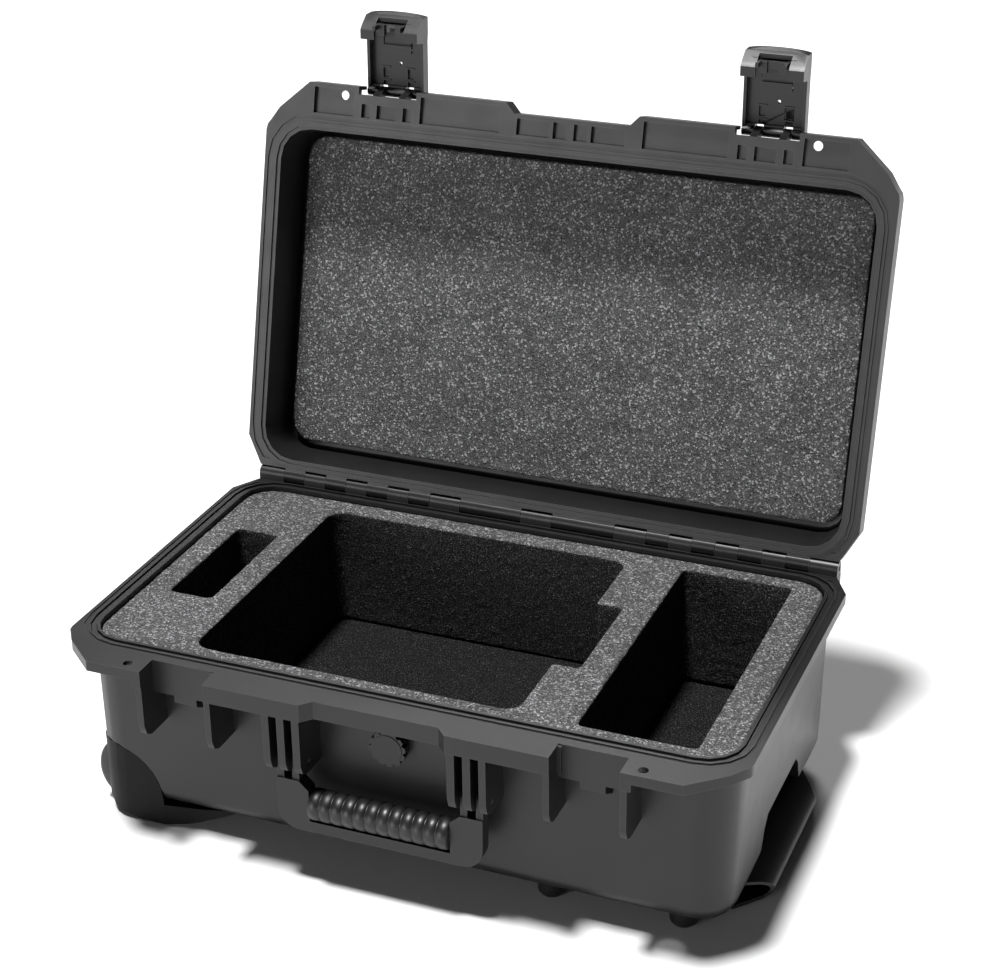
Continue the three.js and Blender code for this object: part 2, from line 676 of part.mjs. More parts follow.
function latchBody() {
  const knuckle = (from, to) => rod('x', 0, 0, LATCH_BARREL, from, to)
    .add(box([from, to], [LATCH_OUTER, 0], [LATCH_PLATE_TOP - 1, 3]));
  const rib = (side, zRange) => box(sided(side, [7, 15]), [LATCH_INNER - 1, LATCH_INNER + 1.2], zRange);
  const slot = (side, zRange) => box(sided(side, [8.5, 14]), [LATCH_INNER - 2.3, LATCH_INNER + 1], zRange);
  const end = LATCH_HALF;
  const flange = (side) => box(sided(side, [end - 2.5, end]), [LATCH_OUTER, 2.5], [HEAD_TOP - 1, 2]);
  const shell = join([
    box([-end, end], [LATCH_OUTER, LATCH_INNER], [HEAD_TOP - 1, LATCH_PLATE_TOP]),
    knuckle(-end, -ARM_FAR - 0.6),
    knuckle(-ARM_NEAR + 0.6, ARM_NEAR - 0.6),
    knuckle(ARM_FAR + 0.6, end),
    bothSides(flange),
    bothSides((side) => rib(side, [-21.4, -20.2])),
    bothSides((side) => rib(side, [-10.2, -9.2])),
    latchHead(),
  ]);
  const window = box([-TRIGGER_HALF - 0.4, TRIGGER_HALF + 0.4], [-10, LATCH_INNER + 2], WINDOW);
  const windowLip = box([-TRIGGER_HALF - 1, TRIGGER_HALF + 1], [LATCH_OUTER - 1, LATCH_OUTER], WINDOW_LIP);
  return cut(shell, [
    window,
    rod('x', 0, 0, LATCH_BORE, -end - 1, end + 1, 8),
    rod('x', TRIGGER_Y, TRIGGER_Z, TRIGGER_BORE, -24.5, 24.5, 8),
    rod('y', 2.2, -24.5, 1.5, -10, LATCH_INNER + 1, 10),
    bothSides((side) => slot(side, [-20.2, -11.4])),
    bothSides((side) => slot(side, [-9.2, -5.2])),
  ]).add(windowLip).intersect(latchTipArc());
}

// Seen from the front the tip of the latch is a shallow arc.
function latchTipArc() {
  const half = [[LATCH_HALF + 1, 6], [LATCH_HALF + 1, LATCH_TIP_SIDE], [18, -66.9], [9, -67.8]];
  const outline = [...half, [0, LATCH_TIP], ...half.map(([x, z]) => [-x, z]).reverse()];
  return prism(outline, 'y', LATCH_OUTER - 4, HEAD_INNER + 6);
}

function latchHead() {
  const cap = [
    [LATCH_OUTER - 1, HEAD_TOP],
    [LATCH_OUTER - 1, LATCH_TIP + 2],
    [LATCH_OUTER + 1, LATCH_TIP],
    [1, LATCH_TIP + 1.5],
    [HEAD_INNER - 3.5, LATCH_TIP + 9],
    [HEAD_INNER, LATCH_TIP + 12.5],
    [HEAD_INNER, HEAD_LIP],
  ];
  const inside = [
    [HEAD_INNER - 2.6, HEAD_LIP],
    [HEAD_INNER - 2.6, LATCH_TIP + 13.5],
    [HEAD_INNER - 5, LATCH_TIP + 11],
    [-0.5, LATCH_TIP + 4.2],
    [-5, LATCH_TIP + 3],
    [-5, HEAD_TOP],
  ];
  const filled = [...cap, [2.5, HEAD_TOP + 7], [LATCH_OUTER, HEAD_TOP + 7]];
  const endWall = (side) => prism(filled, 'x', ...sided(side, [LATCH_HALF - 2.5, LATCH_HALF]));
  const bearing = (side) => box(sided(side, [TRIGGER_HALF + 0.6, 18]), [-6, 8], [TRIGGER_Z - 5, TRIGGER_Z + 4]);
  const gate = box([-TRIGGER_HALF - 0.8, TRIGGER_HALF + 0.8], [4, HEAD_INNER + 1], [LATCH_TIP + 1, HEAD_LIP + 1]);
  return join([prism([...cap, ...inside], 'x', -LATCH_HALF, LATCH_HALF), bothSides(bearing)])
    .subtract(gate)
    .add(bothSides(endWall));
}

function trigger() {
  const half = TRIGGER_HALF;
  const far = WINDOW[1];
  const near = WINDOW_LIP[1];
  const button = [
    [-6.8, near - 1],
    [-5.2, near - 1],
    [-5.2, far - 1],
    [-8.2, far - 1.5],
    [-9.2, far - 7.5],
    [-9.2, near + 5.4],
    [-8.2, near + 0.8],
    [-6.8, near + 0.8],
  ];
  const hook = (side) => join([
    box(sided(side, [10.1, half]), [5, 19.5], [TRIGGER_Z - 3.2, TRIGGER_Z + 0.6]),
    box(sided(side, [5, half]), [8, 12.5], [TRIGGER_Z - 3.2, TRIGGER_Z + 6]),
  ]);
  return join([
    prism(button, 'x', -half, half),
    box([-half, half], [-5.3, -2.2], [far - 4.5, far - 1.1]),
    box([-half, half], [-3.7, -2.2], [far - 4.5, far + 1.7]),
    box([-half, half], [-6, 9], [TRIGGER_Z - 2, TRIGGER_Z + 1.6]),
    rod('x', TRIGGER_Y, TRIGGER_Z, TRIGGER_BARREL, -half, half, 10),
    bothSides(hook),
    box([-half, half], [8, 10], [TRIGGER_Z - 3.2, TRIGGER_Z + 3]),
  ]).subtract(rod('x', TRIGGER_Y, TRIGGER_Z, TRIGGER_BORE, -half - 1, half + 1, 8));
}

// A one-turn wire ring around the trigger's pin, beside the trigger.
function triggerSpring() {
  const middle = [19.6, 21.4];
  const wireRing = rod('x', TRIGGER_Y, TRIGGER_Z, 3.4, ...middle);
  return wireRing.subtract(rod('x', TRIGGER_Y, TRIGGER_Z, 2, middle[0] - 1, middle[1] + 1));
}

// ---- Front handle --------------------------------------------------------------------------------

function handleFrame() {
  const half = [
    [HANDLE_OUTER, HANDLE_SHOULDER],
    [HANDLE_OUTER, HANDLE_LOW + 17],
    ...arc(HANDLE_OUTER - 17, HANDLE_LOW + 17, 17, 0, -90, 6).slice(1),
  ];
  const inner = [
    [HANDLE_INNER, HANDLE_LOW + 9.5],
    [HANDLE_INNER, GRIP_Z + GRIP_RADIUS + 1],
    [TINES[0][0], HANDLE_SHOULDER],
  ];
  const mirrored = (points) => points.map(([x, z]) => [-x, z]).reverse();
  const outline = [...half.slice().reverse(), ...inner.slice().reverse(), ...mirrored(inner).reverse()];
  const whole = [...outline, ...mirrored(half).reverse()];
  const depth = [HANDLE_Y - HANDLE_HALF_DEPTH, HANDLE_Y + HANDLE_HALF_DEPTH];
  const tines = bothSides((side) => join(TINES.map((span) => join([
    box(sided(side, span), [HANDLE_Y - 4.5, HANDLE_Y + 4.5], [HANDLE_SHOULDER - 2, HANDLE_Z]),
    rod('x', HANDLE_Y, HANDLE_Z, 4.5, ...sided(side, span)),
  ]))));
  const core = rod('x', HANDLE_Y, GRIP_Z, GRIP_CORE, -HANDLE_INNER - 1, HANDLE_INNER + 1);
  const bores = bothSides((side) => rod('x', HANDLE_Y, HANDLE_Z, HANDLE_BORE, ...sided(side, [60, 90]), 12));
  return join([prism(whole, 'y', ...depth), tines, core]).subtract(bores);
}

function handleGrip() {
  const half = HANDLE_INNER - GAP;
  const pitch = (half * 2) / GRIP_RIDGES;
  const ridges = Array.from({ length: GRIP_RIDGES }, (_, i) => {
    const start = -half + i * pitch;
    return [[GRIP_RADIUS - 1, start], [GRIP_RADIUS, start + pitch / 2]];
  }).flat();
  const profile = [[GRIP_CORE + GAP, -half], ...ridges, [GRIP_RADIUS - 1, half], [GRIP_CORE + GAP, half]];
  const points = [...profile, profile[0]].map(([radius, along]) => new THREE.Vector2(radius, along));
  const geometry = new THREE.LatheGeometry(points, 12);
  geometry.rotateZ(-Math.PI / 2);
  geometry.translate(0, HANDLE_Y, GRIP_Z);
  return solid(geometry);
}

// ---- Pull handle ---------------------------------------------------------------------------------

function pullProfile(inset) {
  const [x0, x1] = PULL_X;
  return [
    [x0 + inset, PULL_LOW + inset],
    [x1 - 7, PULL_LOW + inset],
    [x1 - 2 - inset * 0.8, PULL_LOW + 2.5 + inset * 0.6],
    [x1 - inset, PULL_LOW + 7],
    [x1 - 2.5 - inset * 0.8, PULL_LOW + 11.5 - inset * 0.4],
    [x1 - 9, PULL_LOW + 16.5 - inset],
    [x0 + 12, PULL_LOW + 21 - inset],
    [x0 + 4 + inset / 2, PULL_LOW + 22.2 - inset],
    [x0 + inset, PULL_LOW + 20 - inset / 2],
  ];
}

function pullGrip() {
  const cutEnd = (side) => {
    const outline = [[PULL_X[0] - 1, 101], [PULL_X[1] + 1, 61], [PULL_X[1] + 1, 120], [PULL_X[0] - 1, 120]];
    return prism(outline.map(([x, y]) => [x, side * y]), 'z', -1, 40);
  };
  const socket = (side) => box(
    [PULL_X[0] - 1, PULL_X[0] + PULL_SKIN + 1],
    [side * TUBE_Y - TUBE_HALF[0] - GAP, side * TUBE_Y + TUBE_HALF[0] + GAP],
    [TUBE_Z - TUBE_HALF[1] - GAP, TUBE_Z + TUBE_HALF[1] + GAP],
  );
  return cut(prism(pullProfile(0), 'y', -PULL_HALF, PULL_HALF), [
    prism(pullProfile(PULL_SKIN), 'y', -PULL_HALF - 1, PULL_HALF + 1),
    bothSides(cutEnd),
    bothSides(socket),
  ]);
}

function tubePlug(side) {
  const half = [TUBE_HALF[0] - TUBE_WALL - GAP, TUBE_HALF[1] - TUBE_WALL - GAP];
  const y = side * TUBE_Y;
  const stem = box(
    [TUBE_X[0] - 1, TUBE_X[0] + 12],
    [y - half[0], y + half[0]],
    [TUBE_Z - half[1], TUBE_Z + half[1]],
  );
  return stem.add(box(
    [TUBE_X[0] - 5, TUBE_X[0] - GAP],
    [y - TUBE_HALF[0], y + TUBE_HALF[0]],
    [TUBE_Z - TUBE_HALF[1], TUBE_Z + TUBE_HALF[1]],
  ));
}

// ---- Wheels, drawn on their own axle -------------------------------------------------------------

function tyre() {
  const edge = WHEEL_HALF - 4;
  const rim = HUB_RADIUS + GAP;
  return turned([
    [rim, -WHEEL_HALF],
    [WHEEL_RADIUS - 5, -WHEEL_HALF],
    [WHEEL_RADIUS - 1.4, -WHEEL_HALF + 1.6],
    [WHEEL_RADIUS, -edge],
    [WHEEL_RADIUS, edge],
    [WHEEL_RADIUS - 1.4, WHEEL_HALF - 1.6],
    [WHEEL_RADIUS - 5, WHEEL_HALF],
    [rim, WHEEL_HALF],
  ], 24);
}

function hub() {
  const bore = AXLE_RADIUS + GAP;
  const half = WHEEL_HALF + 1;
  return turned([
    [bore, -half],
    [8, -half],
    [8, -half + 5],
    [17, -half + 5],
    [17, -half + 2],
    [HUB_RADIUS, -half + 2],
    [HUB_RADIUS, half - 2],
    [17, half - 2],
    [17, half - 5],
    [8, half - 5],
    [8, half],
    [bore, half],
  ], 20);
}

// ---- Assembly ------------------------------------------------------------------------------------

const SIDES = [['left', -1], ['right', 1]];
const ENDS = [['front', -1], ['rear', 1]];

function addBase(group) {
  const sealRange = [PARTING - GROOVE_DEPTH + GAP, PARTING - GROOVE_DEPTH + GAP + SEAL_HEIGHT];
  addPiece(group, 'base_shell', baseShell(), 'shell');
  addPiece(group, 'o_ring', ring(GROOVE_IN + GAP, GROOVE_OUT - GAP, sealRange), 'rubber');
  addPiece(group, 'foam_floor_pad', foamTub(PAD_BOTTOM, FOAM_SPLIT - GAP, 12), 'foam');
  addPiece(group, 'foam_insert', foamInsert(), 'foam');
  addPiece(group, 'valve_body', valveBody(), 'latch');
  addPiece(group, 'valve_cap', valveCap(), 'latch');
  addPiece(group, 'trolley_cover', trolleyCover(), 'housing');
  SIDES.forEach(([name, side]) => {
    const hingePin = rod('x', HINGE_Y, HINGE_Z, HINGE_PIN_RADIUS, ...sided(side, [1, HINGE_END - 1]), 8);
    const handlePin = rod('x', HANDLE_Y, HANDLE_Z, HANDLE_PIN_RADIUS, ...sided(side, [59.5, 89]), 12);
    addPiece(group, `lid_hinge_pin_${name}`, hingePin, 'steel');
    addPiece(group, `handle_pin_${name}`, handlePin, 'steel');
  });
  ENDS.forEach(([name, side]) => {
    const axle = rod('y', WHEEL_X, WHEEL_RADIUS, AXLE_RADIUS, side * 93, side * 144.5, 16);
    addPiece(group, `wheel_housing_${name}`, wheelHousing(side), 'housing');
    addPiece(group, `wheel_axle_${name}`, axle, 'steel');
    addPiece(group, `tube_sleeve_${name}`, squareTube(SLEEVE_X, side * TUBE_Y, SLEEVE_HALF, TUBE_WALL), 'alloy');
    FOOT_X.forEach((x, i) => addPiece(group, `foot_${name}_${i + 1}`, foot(x, side * FOOT_Y), 'rubber'));
  });
}

function addLid(group) {
  const origin = [0, HINGE_Y, HINGE_Z];
  addPiece(group, 'lid_shell', lidShell(), 'shell', origin);
  addPiece(group, 'lid_foam', lidFoam(), 'foam', origin);
  SIDES.forEach(([name, side]) => {
    const middle = side * LATCH_X;
    const pin = rod('x', LATCH_Y, LATCH_Z, LATCH_PIN_RADIUS, middle - 25, middle + 25, 8);
    addPiece(group, `latch_pin_${name}`, pin, 'steel', origin);
  });
}

function makeLatch(name) {
  const latch = new THREE.Group();
  addPiece(latch, `latch_body_${name}`, latchBody(), 'latch');
  addPiece(latch, `trigger_${name}`, trigger(), 'latch');
  addPiece(latch, `trigger_pin_${name}`, rod('x', TRIGGER_Y, TRIGGER_Z, TRIGGER_PIN_RADIUS, -24, 24, 8), 'steel');
  addPiece(latch, `trigger_spring_${name}`, triggerSpring(), 'steel');
  return latch;
}

function addFrontHandle(group) {
  const origin = [0, HANDLE_Y, HANDLE_Z];
  addPiece(group, 'handle_frame', handleFrame(), 'grip', origin);
  addPiece(group, 'handle_grip', handleGrip(), 'rubber', origin);
}

function addPullHandle(group) {
  addPiece(group, 'pull_grip', pullGrip(), 'grip');
  ENDS.forEach(([name, side]) => {
    addPiece(group, `pull_tube_${name}`, squareTube(TUBE_X, side * TUBE_Y, TUBE_HALF, TUBE_WALL), 'alloy');
    addPiece(group, `tube_plug_${name}`, tubePlug(side), 'grip');
  });
}

const caseGroup = new THREE.Group();
addBase(caseGroup);
addPullHandle(caseGroup);

const lidGroup = new THREE.Group();
lidGroup.position.set(0, HINGE_Y, HINGE_Z);
lidGroup.rotation.x = THREE.MathUtils.degToRad(-OPEN_ANGLE);
addLid(lidGroup);
SIDES.forEach(([name, side]) => {
  const latch = makeLatch(name);
  latch.position.set(side * LATCH_X, LATCH_Y - HINGE_Y, LATCH_Z - HINGE_Z);
  latch.rotation.x = THREE.MathUtils.degToRad(-LATCH_OPEN);
  lidGroup.add(latch);
});
caseGroup.add(lidGroup);

const handleGroup = new THREE.Group();
handleGroup.position.set(0, HANDLE_Y, HANDLE_Z);
addFrontHandle(handleGroup);
caseGroup.add(handleGroup);

ENDS.forEach(([name, side]) => {
  const wheel = new THREE.Group();
  wheel.position.set(WHEEL_X, side * WHEEL_Y, WHEEL_RADIUS);
  addPiece(wheel, `tyre_${name}`, tyre(), 'rubber');
  addPiece(wheel, `hub_${name}`, hub(), 'housing');
  caseGroup.add(wheel);
});

export default caseGroup;
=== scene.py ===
"""A wheeled hard carrying case, open, with cut foam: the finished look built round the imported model.

Lengths are in metres in the model's own frame: the origin is on the floor under the middle of the base,
+X points to the pull handle and -Y to the latches.
"""

import json
import math

import bmesh
import bpy
from mathutils import Matrix, Vector, noise


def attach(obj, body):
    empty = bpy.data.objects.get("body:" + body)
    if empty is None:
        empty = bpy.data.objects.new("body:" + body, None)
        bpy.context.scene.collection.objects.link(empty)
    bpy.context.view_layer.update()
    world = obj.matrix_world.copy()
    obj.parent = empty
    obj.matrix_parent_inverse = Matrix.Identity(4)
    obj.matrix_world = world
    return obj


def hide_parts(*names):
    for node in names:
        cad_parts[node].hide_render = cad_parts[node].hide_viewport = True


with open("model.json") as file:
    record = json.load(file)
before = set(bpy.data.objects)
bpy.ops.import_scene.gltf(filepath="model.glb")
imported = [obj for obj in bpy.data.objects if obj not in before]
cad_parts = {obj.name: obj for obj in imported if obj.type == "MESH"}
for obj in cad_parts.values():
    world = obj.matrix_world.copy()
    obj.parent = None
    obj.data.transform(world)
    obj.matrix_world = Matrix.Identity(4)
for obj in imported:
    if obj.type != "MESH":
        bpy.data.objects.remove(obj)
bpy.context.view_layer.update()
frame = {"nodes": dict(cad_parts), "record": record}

MM = 0.001

# ---- Sizes taken over from the model -------------------------------------------------------------

FOAM_TOP = 0.162
GRIP_PLACE = Vector((0, -0.170, 0.071))
WHEEL_PLACE = Vector((-0.240, 0.116, 0.031))

# In millimetres, for the turned pieces
GRIP_HALF = 57.0
GRIP_RADIUS = 12.6
GRIP_CORE = 6.8
GRIP_RIDGES = 12
GRIP_GROOVE = 1.3
GRIP_SHOULDER = 0.35
GRIP_SEGMENTS = 56
TYRE_RADIUS = 31.0
TYRE_RIM = 20.3
TYRE_HALF = 14.0
TYRE_WALL = 5.0
TREAD_GROOVES = (-5.5, 0.0, 5.5)
TREAD_DEPTH = 1.5
TYRE_SEGMENTS = 72

# ---- Small tools ---------------------------------------------------------------------------------


def make_object(name, mesh, material, body, replaced):
    """Adds a finished mesh to the scene as a piece that rides on a body in the place of a plain node."""
    piece = bpy.data.objects.new(name, mesh)
    bpy.context.scene.collection.objects.link(piece)
    mesh.materials.clear()
    mesh.materials.append(material)
    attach(piece, body)
    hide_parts(replaced)
    return piece


def smooth_all(mesh):
    """Smooth shading on every face, without the flat normals and crisp edges a mesh came with."""
    for name in ("custom_normal", "sharp_edge"):
        if name in mesh.attributes:
            mesh.attributes.remove(mesh.attributes[name])
    mesh.polygons.foreach_set("use_smooth", [True] * len(mesh.polygons))


WELD_DISTANCE = 2e-6
FLAT_ANGLE = math.radians(1)
BEVEL_ANGLE = math.radians(30)
BEVEL_SEGMENTS = 2


def add_bevel(piece, width):
    """Rounds a piece's crisp edges without touching its own mesh."""
    weld = piece.modifiers.new("join_faces", "WELD")
    weld.merge_threshold = WELD_DISTANCE
    flat = piece.modifiers.new("merge_flats", "DECIMATE")
    flat.decimate_type = "DISSOLVE"
    flat.angle_limit = FLAT_ANGLE
    bevel = piece.modifiers.new("edges", "BEVEL")
    bevel.width = width
    bevel.segments = BEVEL_SEGMENTS
    bevel.limit_method = "ANGLE"
    bevel.angle_limit = BEVEL_ANGLE
    bevel.miter_outer = "MITER_ARC"
    piece.modifiers.new("even_shading", "WEIGHTED_NORMAL")


def lathe(profile, axis, centre, segments):
    """A closed mesh turned about an axis through centre, from (radius, along) points in millimetres."""
    mesh = bpy.data.meshes.new("turned")
    built = bmesh.new()
    rings = []
    for radius, along in profile:
        ring = []
        for i in range(segments):
            angle = 2 * math.pi * i / segments
            across = (radius * math.cos(angle) * MM, radius * math.sin(angle) * MM)
            spot = {"x": (along * MM, *across), "y": (across[1], along * MM, across[0])}[axis]
            ring.append(built.verts.new(centre + Vector(spot)))
        rings.append(ring)
    for i, ring in enumerate(rings):
        after = rings[(i + 1) % len(rings)]
        for j in range(segments):
            k = (j + 1) % segments
            built.faces.new((ring[j], ring[k], after[k], after[j]))
    bmesh.ops.recalc_face_normals(built, faces=built.faces)
    built.to_mesh(mesh)
    built.free()
    return mesh


# ---- Materials -----------------------------------------------------------------------------------

# Radius of the edge mask: rubbed edges and the painted highlight along them
WORN_AND_HIGHLIT_EDGE = 0.0011
SCUFF_STRETCH = (40.0, 40.0, 9.0)
SCUFF_TURN = (0.4, 0.7, 0.3)
# Depth below the foam top where the painted shade of the pockets begins
UNSHADED_SKIN_DEPTH = 0.003
SHADE_EDGE_WAVER = 0.002
DRAWN_LINES = (60.0, 2400.0, 2400.0)

# Tones of the foam's cut faces in the pockets, as (noise, grey) stops: cut-face grain, far darker than the
# top skin as painted shade in the pockets
SHADED_WALL_FLECKS = [(0.40, 0.008), (0.55, 0.030), (0.64, 0.12), (0.74, 0.45)]
SHADED_FLOOR_FLECKS = [(0.42, 0.002), (0.56, 0.010), (0.66, 0.07), (0.76, 0.3)]


def cool_grey(grey):
    """A grey with a trace of blue, as dark plastic and foam have."""
    return (grey, grey, grey * 1.01, 1)


class Nodes:
    """A short way to write a material's node tree."""

    def __init__(self, name):
        self.material = bpy.data.materials.new(name)
        self.material.use_nodes = True
        self.tree = self.material.node_tree
        self.shader = self.tree.nodes["Principled BSDF"]
        self.place = self.add("ShaderNodeTexCoord").outputs["Object"]

    def add(self, kind, settings=(), **inputs):
        made = self.tree.nodes.new(kind)
        for key, value in dict(settings).items():
            setattr(made, key, value)
        for key, value in inputs.items():
            self.feed(made.inputs[key.replace("_", " ")], value)
        return made

    def feed(self, socket, value):
        if isinstance(value, bpy.types.NodeSocket):
            self.tree.links.new(value, socket)
        else:
            socket.default_value = value

    def noise(self, scale, detail=3.0, roughness=0.5, place=None):
        made = self.add("ShaderNodeTexNoise", Scale=scale, Detail=detail, Roughness=roughness)
        self.feed(made.inputs["Vector"], place or self.place)
        return made.outputs["Fac"]

    def ramp(self, value, stops):
        made = self.add("ShaderNodeValToRGB", Fac=value)
        elements = made.color_ramp.elements
        while len(elements) < len(stops):
            elements.new(0.5)
        for element, (position, grey) in zip(elements, stops):
            element.position = position
            element.color = cool_grey(grey)
        return made.outputs["Color"]

    def math(self, operation, a, b=0.0):
        made = self.add("ShaderNodeMath", {"operation": operation})
        self.feed(made.inputs[0], a)
        self.feed(made.inputs[1], b)
        return made.outputs[0]

    def mix(self, factor, a, b, blend="MIX"):
        made = self.add("ShaderNodeMix", {"data_type": "RGBA", "blend_type": blend})
        self.feed(made.inputs["Factor"], factor)
        self.feed(made.inputs["A"], a)
        self.feed(made.inputs["B"], b)
        return made.outputs["Result"]

    def bump(self, height, strength, distance, normal=None):
        made = self.add("ShaderNodeBump", Strength=strength, Distance=distance, Height=height)
        if normal is not None:
            self.feed(made.inputs["Normal"], normal)
        return made.outputs["Normal"]

    def edge_mask(self):
        """White along the crisp edges of a shape, black on its open faces."""
        rounded = self.add("ShaderNodeBevel", {"samples": 4}, Radius=WORN_AND_HIGHLIT_EDGE).outputs["Normal"]
        flat = self.add("ShaderNodeNewGeometry").outputs["Normal"]
        same = self.add("ShaderNodeVectorMath", {"operation": "DOT_PRODUCT"})
        self.feed(same.inputs[0], rounded)
        self.feed(same.inputs[1], flat)
        return self.ramp(same.outputs["Value"], [(0.86, 1.0), (0.985, 0.0)])


def plastic_colour(nodes, grey, spread, wear_and_highlight):
    """A slow mottle, then faint scuffs, dust and rubbed edges with a painted highlight over it, each a
    lighter grey.
    """
    colour = nodes.ramp(nodes.noise(9.0, 5.0, 0.6), [(0.3, grey - spread), (0.7, grey + spread)])
    stretch = nodes.add("ShaderNodeMapping", Vector=nodes.place, Scale=SCUFF_STRETCH, Rotation=SCUFF_TURN)
    scuff = nodes.ramp(nodes.noise(5.0, 8.0, 0.75, stretch.outputs["Vector"]), [(0.62, 0.0), (0.78, 1.0)])
    dust = nodes.ramp(nodes.noise(420.0, 2.0, 0.6), [(0.66, 0.0), (0.74, 1.0)])
    # The edge mask lightens crisp edges sevenfold: partly rubbed wear, partly a painted highlight along the
    # edges.
    for mask, amount, lighter in ((scuff, 0.10, 2.6), (dust, 0.05, 4.0), (nodes.edge_mask(), wear_and_highlight, 7.0)):
        colour = nodes.mix(nodes.math("MULTIPLY", mask, amount), colour, cool_grey(grey * lighter))
    return colour


def plastic(name, grey, spread, roughness, grain, wear_and_highlight, gloss=0.42):
    """Moulded plastic with a fine spark-eroded grain over a slightly uneven face."""
    nodes = Nodes(name)
    nodes.feed(nodes.shader.inputs["Base Color"], plastic_colour(nodes, grey, spread, wear_and_highlight))
    rough = nodes.add("ShaderNodeMapRange", Value=nodes.noise(35.0, 6.0, 0.7))
    rough.inputs["To Min"].default_value = roughness - 0.07
    rough.inputs["To Max"].default_value = roughness + 0.09
    nodes.feed(nodes.shader.inputs["Roughness"], rough.outputs["Result"])
    nodes.shader.inputs["Specular IOR Level"].default_value = gloss
    uneven = nodes.bump(nodes.noise(60.0, 2.0, 0.5), 0.12, 0.0006)
    leather = nodes.bump(nodes.noise(1500.0, 3.0, 0.6), grain, 0.00025, uneven)
    nodes.feed(nodes.shader.inputs["Normal"], leather)
    return nodes.material


def foam_flecks(nodes, cells, dark, mid, light):
    """Salt-and-pepper cells: a random tone per cell, a finer grain over it and slow clouds."""
    tone = nodes.add("ShaderNodeSeparateColor", Color=cells.outputs["Color"]).outputs[0]
    fleck = nodes.ramp(tone, [(0.0, dark), (0.4, mid * 0.3), (0.62, mid), (0.82, mid * 2.4), (1.0, light)])
    fine = nodes.ramp(nodes.noise(1300.0, 2.0, 0.7), [(0.38, dark), (0.64, light)])
    cloud = nodes.ramp(nodes.noise(26.0, 4.0, 0.6), [(0.3, 0.84), (0.7, 1.14)])
    return nodes.mix(1.0, nodes.mix(0.3, fleck, fine), cloud, "MULTIPLY")


def above(nodes, height, waver):
    """White above a height that wavers a little, black below it."""
    level = nodes.add("ShaderNodeSeparateXYZ", Vector=nodes.place).outputs["Z"]
    uneven = nodes.math("ADD", nodes.math("MULTIPLY", nodes.noise(300.0, 3.0, 0.6), waver), height)
    return nodes.ramp(nodes.math("GREATER_THAN", level, uneven), [(0.0, 0.0), (1.0, 1.0)])


def foam(name, dark, mid, light, shade_below=None, shaded_flecks=()):
    """Open-cell foam with a rough, matt skin. Below a given height it has nearly black flecks, painted
    shade on the pocket walls and floors.
    """
    nodes = Nodes(name)
    cells = nodes.add("ShaderNodeTexVoronoi", {"feature": "F1"}, Scale=760.0, Randomness=1.0)
    nodes.feed(cells.inputs["Vector"], nodes.place)
    colour = foam_flecks(nodes, cells, dark, mid, light)
    # Below the skin the foam takes a nearly black fleck ramp: painted shade on the pocket walls and floors.
    if shade_below is not None:
        shaded_inner = nodes.ramp(nodes.noise(900.0, 3.0, 0.75), shaded_flecks)
        colour = nodes.mix(above(nodes, shade_below, SHADE_EDGE_WAVER), shaded_inner, colour)
    nodes.feed(nodes.shader.inputs["Base Color"], colour)
    nodes.shader.inputs["Roughness"].default_value = 0.95
    nodes.shader.inputs["Specular IOR Level"].default_value = 0.1
    pits = nodes.bump(cells.outputs["Distance"], 0.6, 0.0008)
    nodes.feed(nodes.shader.inputs["Normal"], nodes.bump(nodes.noise(600.0, 4.0, 0.7), 0.5, 0.0006, pits))
    return nodes.material


def rubber(name, grey, roughness):
    """Soft rubber: nearly black, a little bloom and a fine matt skin."""
    nodes = Nodes(name)
    bloom = nodes.noise(55.0, 5.0, 0.65)
    nodes.feed(nodes.shader.inputs["Base Color"], nodes.ramp(bloom, [(0.35, grey), (0.75, grey * 2.0)]))
    rough = nodes.ramp(nodes.noise(140.0, 3.0, 0.6), [(0.3, roughness - 0.08), (0.7, roughness + 0.08)])
    nodes.feed(nodes.shader.inputs["Roughness"], rough)
    nodes.feed(nodes.shader.inputs["Normal"], nodes.bump(nodes.noise(2200.0, 2.0, 0.5), 0.2, 0.0002))
    return nodes.material


def metal(name, grey, roughness):
    """Drawn metal: fine lines along the pin or tube, and slight tarnish."""
    nodes = Nodes(name)
    stretch = nodes.add("ShaderNodeMapping", Vector=nodes.place, Scale=DRAWN_LINES)
    lines = nodes.noise(1.0, 4.0, 0.6, stretch.outputs["Vector"])
    tarnish = nodes.ramp(nodes.noise(70.0, 5.0, 0.6), [(0.3, grey * 0.75), (0.7, grey * 1.05)])
    nodes.feed(nodes.shader.inputs["Base Color"], tarnish)
    nodes.shader.inputs["Metallic"].default_value = 1.0
    rough = nodes.ramp(lines, [(0.3, roughness - 0.1), (0.7, roughness + 0.15)])
    nodes.feed(nodes.shader.inputs["Roughness"], rough)
    nodes.feed(nodes.shader.inputs["Normal"], nodes.bump(lines, 0.15, 0.0001))
    return nodes.material


